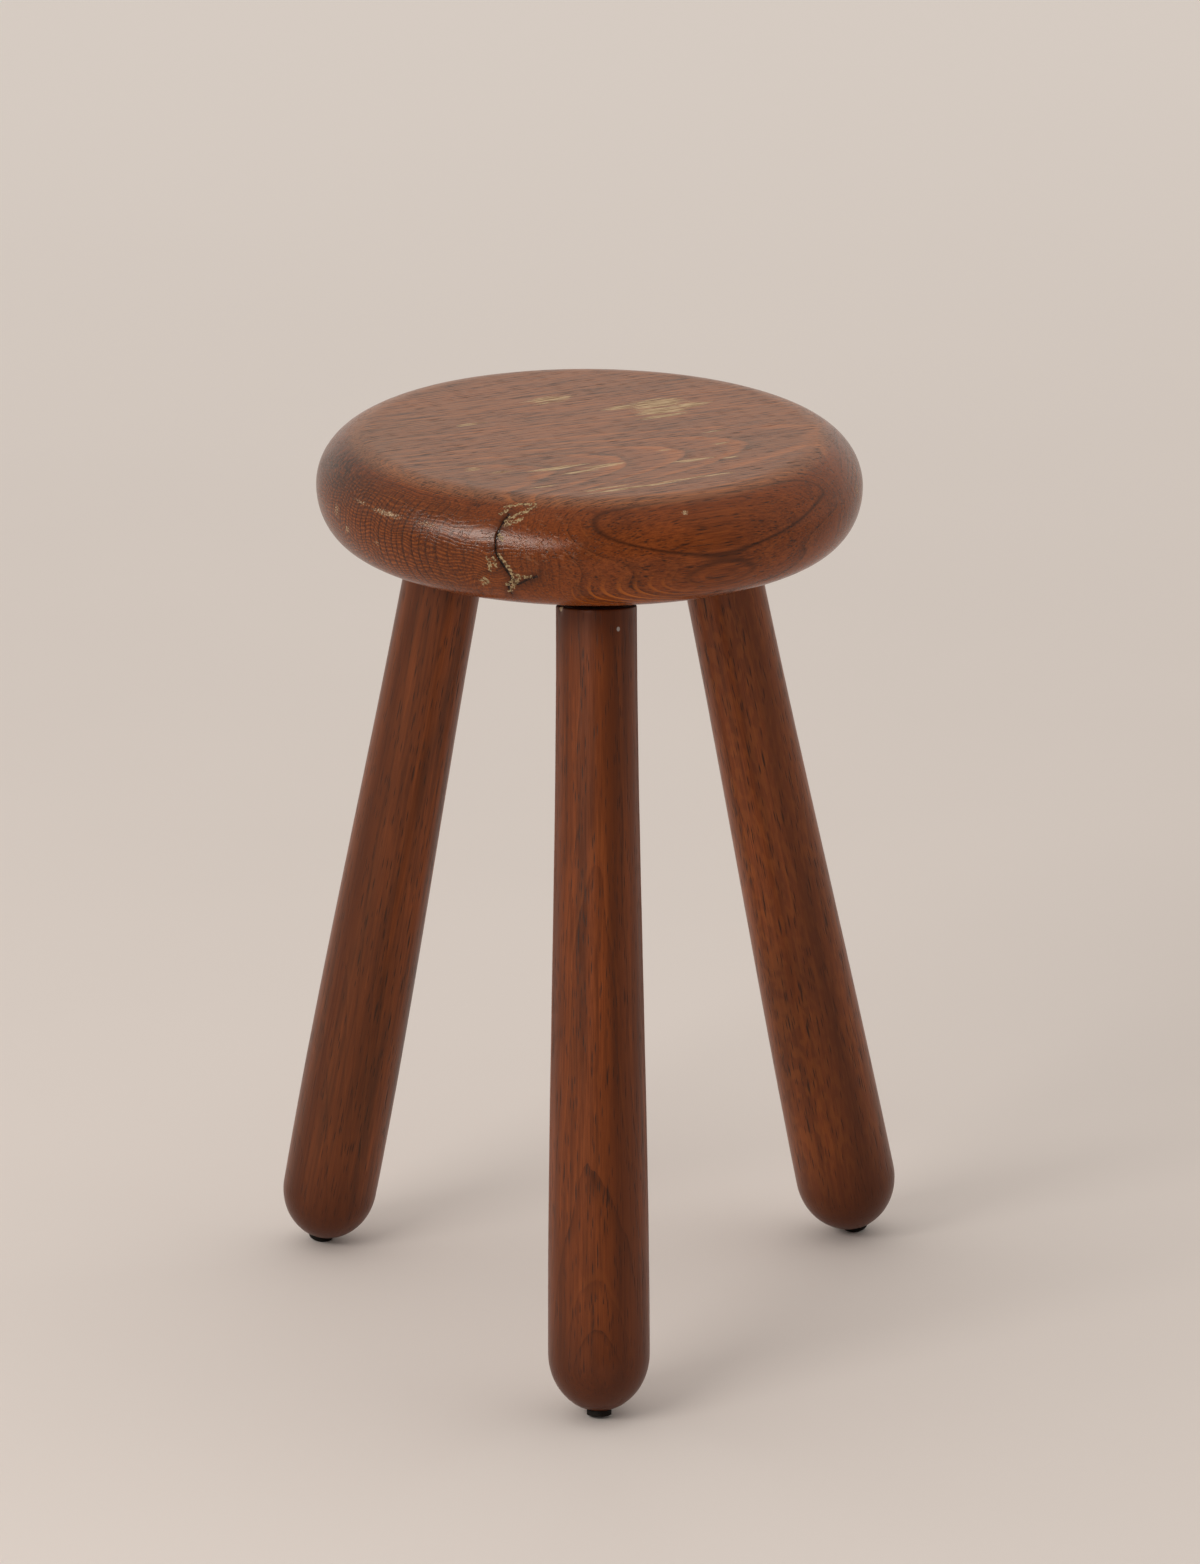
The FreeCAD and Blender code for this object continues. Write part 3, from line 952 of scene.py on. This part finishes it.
def seat_oak():
    """Stained oak under varnish: dull and worn on the top, cracked and filled at the knot."""
    graph = Graph("seat_oak")
    turn = Matrix.Rotation(math.radians(SEAT_GRAIN_TURN), 4, "Z")
    point = grain_place(graph, Matrix.Translation(SEAT_AXIS) @ turn)
    oak = Oak(graph, point, 0, SEAT_RING)
    seat_rings(oak)
    top = graph.step(graph.split(point)[2], SEAT_TOP - SHEEN_END, SEAT_TOP - SHEEN_FULL)
    end = end_grain(graph, turn @ Vector((1.0, 0.0, 0.0)))
    colour = seat_stain(oak, turn, top, end)
    glints = wavy_glints(graph, point)
    colour = graph.mix(graph.times(glints, 0.5), colour, GLINT)
    stain = graph.times(graph.mask("stain"), graph.step(oak.fibres, 0.3, 0.6, 0.25, 0.8))
    colour = graph.mix(stain, colour, PORE)
    worn = worn_mask(oak, turn)
    shade = graph.step(graph.noise(oak.stretch(11.0, 0.7), 3.0), 0.42, 0.56)
    colour = graph.mix(graph.times(worn, 0.9), colour, graph.mix(shade, BARE_DARK, BARE))
    colour, filler = fill_crack(oak, colour)
    worn = graph.math("MAXIMUM", worn, filler)
    gloss = graph.plus(graph.step(oak.fibres, 0.3, 0.7, 0.19, 0.26), graph.times(oak.pores, 0.12),
                       graph.times(worn, 0.3), graph.times(top, 0.08))
    height = graph.plus(graph.times(oak.pores, -1.0), graph.times(oak.fibres, 0.25), graph.times(worn, -0.6),
                        graph.times(glints, 0.8), graph.times(end, oak.rays, 0.8))
    return graph.finish(Base_Color=colour, Roughness=gloss, Normal=graph.relief(height), IOR=VARNISH_IOR)


def leg_rings(oak, wood):
    """Rings round the stick's heart, climbing towards the foot; returns the point they were read at."""
    graph = oak.graph
    bent = graph.vector("ADD", oak.point, graph.vector("MULTIPLY", oak.swing, LEG_SWING))
    across, up, length = graph.split(bent)
    level, angle = polar(graph, across, up, wood["heart"])
    low = graph.math("MAXIMUM", graph.minus(FOOT_START, length), 0.0)
    oak.place_rings(graph.plus(level, graph.times(low, low, FOOT_BOW)))
    oak.rays = oak.ray_lines(graph.times(angle, RAY_FAN), length)
    return bent


def leg_stain(oak, wood, bent):
    """Colour of a leg: its figure, dust, a dark streak, darker sides partly painted as shade, grime at the
    foot, and painted shade under the seat at the shoulder.
    """
    graph = oak.graph
    sideways, _, level = graph.split(oak.point)
    colour = oak.colour(wood["rays"], wood["rings"], LEG_LATE, wood["pores"], wood["bands"])
    colour = graph.mix(wood["dust"], colour, FADED_AND_SHEEN)
    streak_side = on_leg(wood["streak"], 0.0, MIDDLE_DIA / 2)
    streak = graph.patch(bent, streak_side, (STREAK_REACH, STREAK_REACH, ENDLESS))
    streak = graph.times(streak, graph.step(oak.fibres, 0.35, 0.6, 0.3, 0.9))
    colour = graph.mix(streak, colour, DARK)
    # darker sides: partly the wood's own figure, partly painted shade where the round leg turns from the
    # light
    sides = graph.step(graph.math("ABSOLUTE", sideways), SIDE_START, SIDE_FULL)
    sides = graph.times(sides, graph.step(graph.noise(oak.stretch(120.0, 5.0), 2.0), 0.35, 0.6, 0.35, 1.0))
    colour = graph.mix(graph.times(sides, wood["sides"]), colour, DARK)
    foot = graph.step(level, *FOOT_GRIME, 0.0, 0.85)
    # painted shade: darker towards the shoulder, where the seat shades the leg
    shade = graph.step(level, SHADE_START, -SHOULDER_GAP, 0.0, 0.55)
    return graph.mix(graph.math("MAXIMUM", foot, shade), colour, DARK)


def shoulder_marks(graph, point, colour):
    """Pale fleck and chip on the front leg's shoulder."""
    from_fleck = graph.spot(point, on_leg(*FLECK, SHOULDER_DIA / 2), (1.0, 1.0, 1.2))
    colour = graph.mix(graph.step(from_fleck, 1.1, 0.7), colour, FLECK_WHITE)
    return graph.mix(graph.times(graph.step(graph.mask("chip"), 0.35, 0.6), 0.8), colour, BARE)


def leg_oak(name, turn, splay, radius):
    """Stained oak under varnish, on the axes of one leg, with its neck left dark and dull, partly raw end
    grain and partly painted shade in the gap under the seat.
    """
    graph = Graph("leg_oak_" + name)
    place = leg_place(turn, splay, radius)
    place.translation = place.translation * MM
    point = grain_place(graph, Matrix.Translation(SEAT_AXIS) @ place)
    oak = Oak(graph, point, 2, LEG_RING)
    wood = LEG_WOOD[name]
    bent = leg_rings(oak, wood)
    colour = leg_stain(oak, wood, bent)
    neck = graph.step(graph.split(point)[2], NECK_START, NECK_FULL)
    # dark neck: raw dirty end grain, with painted shade in the gap under the seat
    colour = graph.mix(graph.times(neck, 0.9), colour, PORE)
    if name == "front":
        colour = shoulder_marks(graph, point, colour)
    gloss = graph.plus(graph.step(oak.fibres, 0.3, 0.7, 0.29, 0.37), graph.times(oak.pores, 0.15),
                       graph.times(neck, 0.6))
    height = graph.plus(graph.times(oak.pores, -1.0), graph.times(oak.fibres, 0.25))
    return graph.finish(Base_Color=colour, Roughness=gloss, Normal=graph.relief(height), IOR=VARNISH_IOR)


def glide_plastic():
    """Matt black with fine grit."""
    graph = Graph("glide_black")
    grit = graph.noise(graph.scale(graph.object_place(), GLIDE_GRIT), 3.0)
    colour = graph.mix(grit, GLIDE_DARK, GLIDE_WORN)
    return graph.finish(Base_Color=colour, Roughness=graph.step(grit, 0.3, 0.7, 0.5, 0.75), IOR=GLIDE_IOR)


def nail_steel():
    """Plain steel with fine grit."""
    graph = Graph("nail_steel")
    grit = graph.noise(graph.scale(graph.object_place(), NAIL_GRIT), 3.0)
    colour = graph.mix(grit, NAIL_DARK, NAIL_LIGHT)
    return graph.finish(Base_Color=colour, Metallic=1.0, Roughness=graph.step(grit, 0.3, 0.7, 0.3, 0.55))


def floor_paint():
    """Pale matt paint with slow mottling, a little paler far behind the stool."""
    graph = Graph("floor_paint")
    place = graph.object_place()
    mottle = graph.noise(graph.scale(place, FLOOR_MOTTLE), 4.0)
    colour = graph.mix(graph.step(mottle, 0.3, 0.7), FLOOR, FLOOR_LIGHT)
    colour = graph.mix(graph.step(graph.split(place)[1], *FLOOR_PALER), colour, FLOOR_FAR)
    return graph.finish(Base_Color=colour, Roughness=0.8)


# Stage, light and camera

def make_stage():
    """A plain pale floor, wide enough to fill every view."""
    half = FLOOR_HALF
    corners = [(-half, -half, 0.0), (half, -half, 0.0), (half, half, 0.0), (-half, half, 0.0)]
    floor = new_piece("floor", to_frame(corners), [(0, 1, 2, 3)])
    floor.data.materials.append(floor_paint())


def make_world():
    """Even light from above and behind, dimmer from the front."""
    graph = Graph("studio", "worlds", "Background")
    direction = graph.node("TexCoord", {}).outputs["Generated"]
    frontward = graph.vector("DOT_PRODUCT", direction, (0.0, -1.0, 0.0))
    power = graph.step(frontward, *WORLD_RANGE, WORLD_BRIGHT, WORLD_DIM)
    bpy.context.scene.world = graph.finish(Color=WORLD_COLOUR, Strength=power)
    bpy.context.scene.view_settings.view_transform = "Standard"


def make_lamp(name, watts, width, height, azimuth, rise):
    """Soft rectangular lamp, aimed at the seat."""
    data = bpy.data.lights.new(name, "AREA")
    data.shape = "RECTANGLE"
    data.size = width
    data.size_y = height
    data.energy = watts
    data.color = WORLD_COLOUR[:3]
    lamp = bpy.data.objects.new(name, data)
    bpy.context.scene.collection.objects.link(lamp)
    target = SEAT_AXIS + Vector((0.0, 0.0, SEAT_TOP * MM))
    turn, up = math.radians(azimuth), math.radians(rise)
    towards = Vector((math.sin(turn) * math.cos(up), -math.cos(turn) * math.cos(up), math.sin(up)))
    lamp.location = target + LAMP_AWAY * towards
    lamp.rotation_euler = (-towards).to_track_quat("-Z", "Y").to_euler()
    return lamp


def make_camera():
    """Camera at its fitted place, by heading, tilt and roll."""
    heading, tilt, roll = (math.radians(a) for a in (CAMERA_HEADING, CAMERA_TILT, CAMERA_ROLL))
    level = Vector((math.sin(heading), math.cos(heading), 0.0))
    forward = level * math.cos(tilt) - Vector((0.0, 0.0, math.sin(tilt)))
    right = forward.cross(Vector((0.0, 0.0, 1.0))).normalized()
    up = right.cross(forward)
    rolled_right = right * math.cos(roll) + up * math.sin(roll)
    rolled_up = up * math.cos(roll) - right * math.sin(roll)
    data = bpy.data.cameras.new("camera")
    data.sensor_width = SENSOR_WIDTH
    data.lens = FOCAL_PIXELS * SENSOR_WIDTH / PICTURE_HEIGHT
    data.clip_end = CLIP_END
    camera = bpy.data.objects.new("camera", data)
    bpy.context.scene.collection.objects.link(camera)
    turn = Matrix((rolled_right, rolled_up, -forward)).transposed()
    place = Vector(CAMERA_PLACE) * MM + SEAT_AXIS
    camera.matrix_world = Matrix.Translation(place) @ turn.to_4x4()
    bpy.context.scene.camera = camera


def dress(piece, node, material):
    """Give a piece its finish, and have it stand for a CAD node."""
    piece.data.materials.clear()
    piece.data.materials.append(material)
    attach(piece, "root")
    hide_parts(node)


def refinish(node, material):
    """Give a CAD node that shows as it is its finish."""
    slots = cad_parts[node].data.materials
    slots.clear()
    slots.append(material)


dress(make_seat(), "seat", seat_oak())
black = glide_plastic()
steel = nail_steel()
for side, (turn, splay, radius, belly_dia) in LEGS.items():
    wood = leg_oak(side, turn, splay, radius)
    dress(make_leg(side, turn, splay, radius, belly_dia), "leg_" + side, wood)
    refinish("glide_" + side, black)
    refinish("nail_" + side, steel)
make_stage()
make_world()
lamps = {name: make_lamp(name, *values) for name, values in LAMPS.items()}
lamps["strip"].visible_diffuse = False
make_camera()
